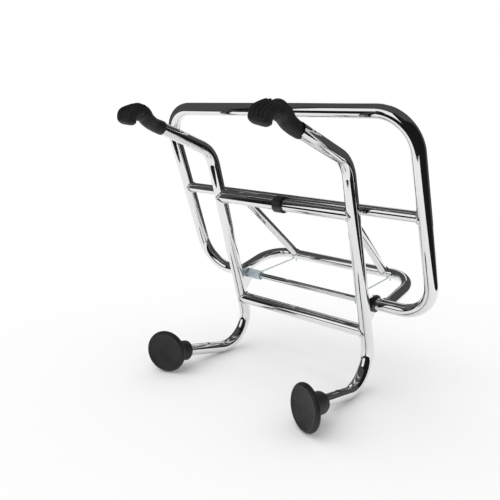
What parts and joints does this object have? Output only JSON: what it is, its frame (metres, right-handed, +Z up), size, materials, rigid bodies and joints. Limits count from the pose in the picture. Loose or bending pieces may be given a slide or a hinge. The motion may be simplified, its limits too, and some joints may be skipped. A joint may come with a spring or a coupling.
{
  "type": "scooter front luggage rack",
  "caption": "Chromed tube front rack for a scooter: bent uprights with rubber hooks and foot pads carry a sprung fold-down shelf loop held up by a plastic clip.",
  "frame": {"origin": "on the floor that the pads and lower bends stand on, under the middle of the rack", "axes": "+X across to the rack's right as seen from behind it, +Y forward away from the legshield, +Z up"},
  "size_m": [0.39, 0.3022, 0.3579],
  "materials": {
    "chrome": "polished",
    "zinc_wire": "zinc plated",
    "rubber": "matte",
    "black_plastic": "satin"
  },
  "bodies": {
    "frame": {"left_upright": "chrome", "right_upright": "chrome", "middle_crossbar": "chrome", "lower_crossbar": "chrome", "left_hook_cover": "rubber", "right_hook_cover": "rubber", "left_foot_pad": "rubber", "right_foot_pad": "rubber", "left_hinge_bracket": "chrome", "right_hinge_bracket": "chrome", "pivot_rod": "chrome", "left_torsion_spring": "zinc_wire", "right_torsion_spring": "zinc_wire", "latch_clip": "black_plastic"},
    "shelf": {"shelf_loop": "chrome", "shelf_crossbar": "chrome", "support_bow": "chrome", "left_strut": "chrome", "right_strut": "chrome", "left_hinge_bush": "black_plastic", "right_hinge_bush": "black_plastic"}
  },
  "joints": [
    {"name": "shelf_fold", "type": "hinge", "parent": "frame", "child": "shelf", "pos_m": [0, 0.0679, 0.10983], "axis": [-1, 0, 0], "range_deg": [0, 100], "stiffness_Nm_per_rad": 0.4, "springref_deg": -34.38, "deforming": ["left_torsion_spring", "right_torsion_spring"]}
  ]
}
